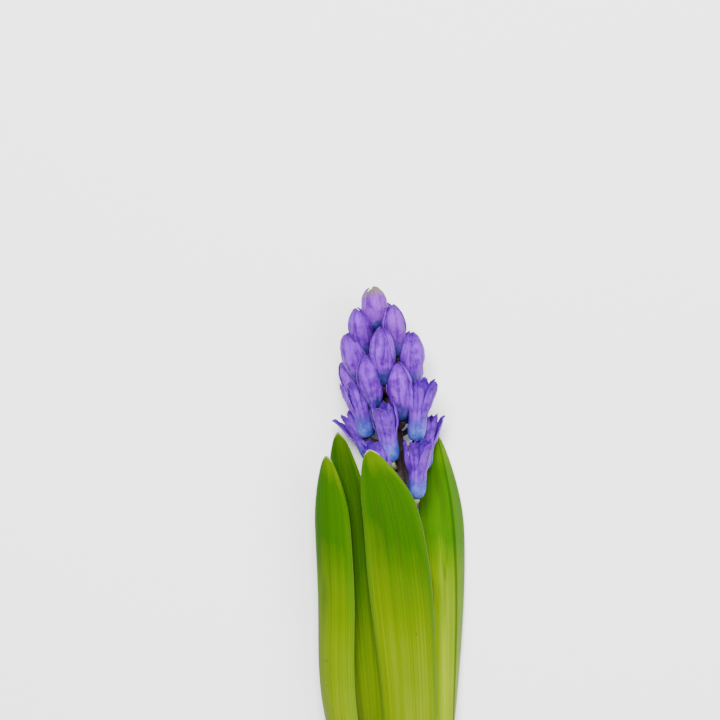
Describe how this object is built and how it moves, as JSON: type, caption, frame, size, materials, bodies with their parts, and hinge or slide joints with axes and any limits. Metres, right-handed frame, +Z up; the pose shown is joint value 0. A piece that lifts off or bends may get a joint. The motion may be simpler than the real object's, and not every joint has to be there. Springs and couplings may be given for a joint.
{
  "type": "hyacinth flower",
  "caption": "Cut hyacinth lying on its back: a dense spike of violet bell florets, shut buds at its tip, on a dark stalk between broad channelled leaves.",
  "frame": {"origin": "middle of the bounding box's footprint, on the surface the flower lies on", "axes": "+Y along the stalk towards the tip of the spike, +Z up from the surface, out of the spike's front, +X to the right of the spike seen from above"},
  "size_m": [0.0658, 0.2708, 0.048],
  "materials": {
    "stalk": "satin, dark purple-brown plant skin with fine lengthwise streaks",
    "bud": "satin, lilac petals with darker midribs and blue tube bases",
    "bloom": "satin, violet petals with darker midribs and blue tube bases",
    "leaf": "smooth waxy green with fine parallel veins and pale rims"
  },
  "bodies": {
    "root": {"floret_01": "bud", "floret_02": "bud", "floret_03": "bud", "floret_04": "bud", "floret_05": "bud", "floret_06": "bud", "floret_07": "bud", "floret_08": "bud", "floret_09": "bud", "floret_10": "bud", "floret_11": "bud", "floret_12": "bud", "floret_13": "bud", "floret_14": "bud", "floret_15": "bud", "floret_16": "bloom", "floret_17": "bloom", "floret_18": "bloom", "floret_19": "bloom", "floret_20": "bloom", "floret_21": "bloom", "floret_22": "bloom", "floret_23": "bloom", "floret_24": "bloom", "floret_25": "bloom", "leaf_front": "leaf", "leaf_left_inner": "leaf", "leaf_left_outer": "leaf", "leaf_right": "leaf", "leaf_under": "leaf", "scape": "stalk"}
  },
  "joints": []
}
